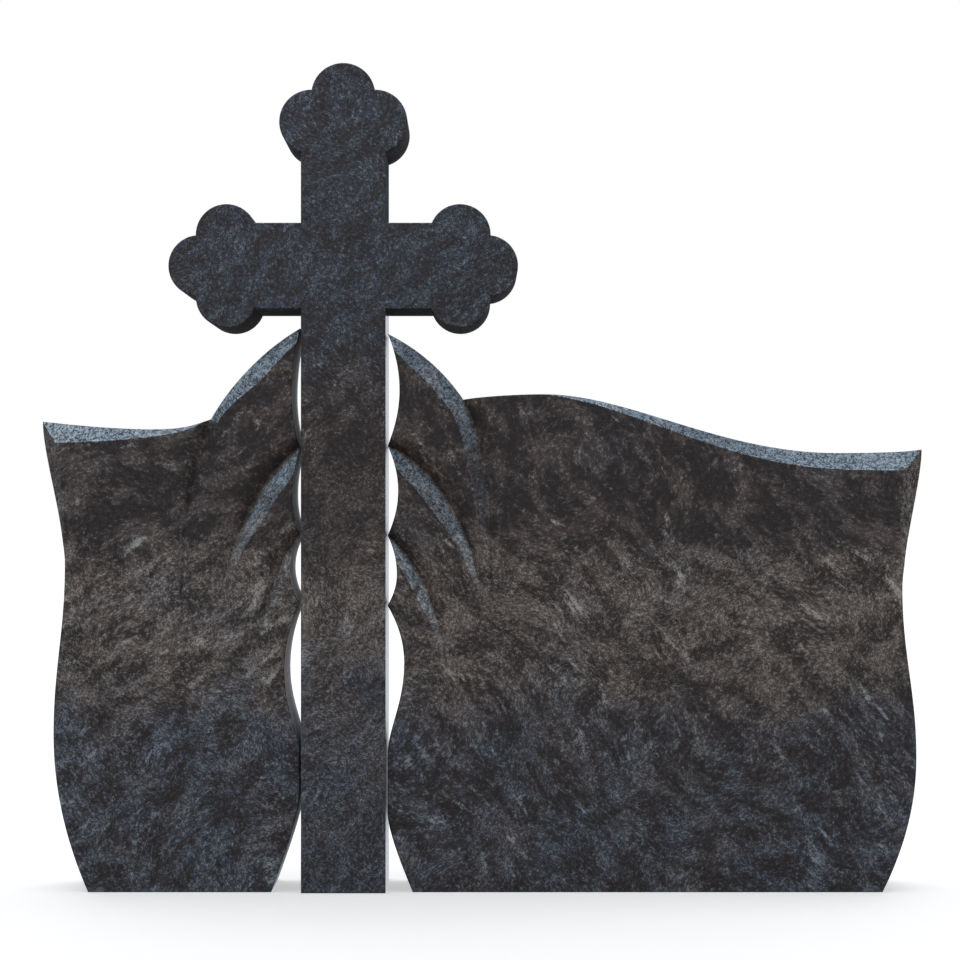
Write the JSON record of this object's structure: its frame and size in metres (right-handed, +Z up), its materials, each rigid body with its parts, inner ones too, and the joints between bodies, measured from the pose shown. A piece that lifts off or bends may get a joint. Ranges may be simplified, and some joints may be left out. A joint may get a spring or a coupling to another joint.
{
  "type": "headstone",
  "caption": "Polished dark granite headstone: a tall trefoil cross between two carved wings with scalloped joints, fan relief and a running-out chamfer.",
  "frame": {"origin": "on the ground, at the middle of the whole width and of the thickness", "axes": "+Z up, +X along the width from the left wing to the right wing, the carved front faces -Y"},
  "size_m": [1.329, 0.14, 1.2445],
  "materials": {
    "granite_cross": "polished",
    "granite_wings": "polished"
  },
  "bodies": {
    "root": {"cross": "granite_cross", "left_wing": "granite_wings", "right_wing": "granite_wings"}
  },
  "joints": []
}
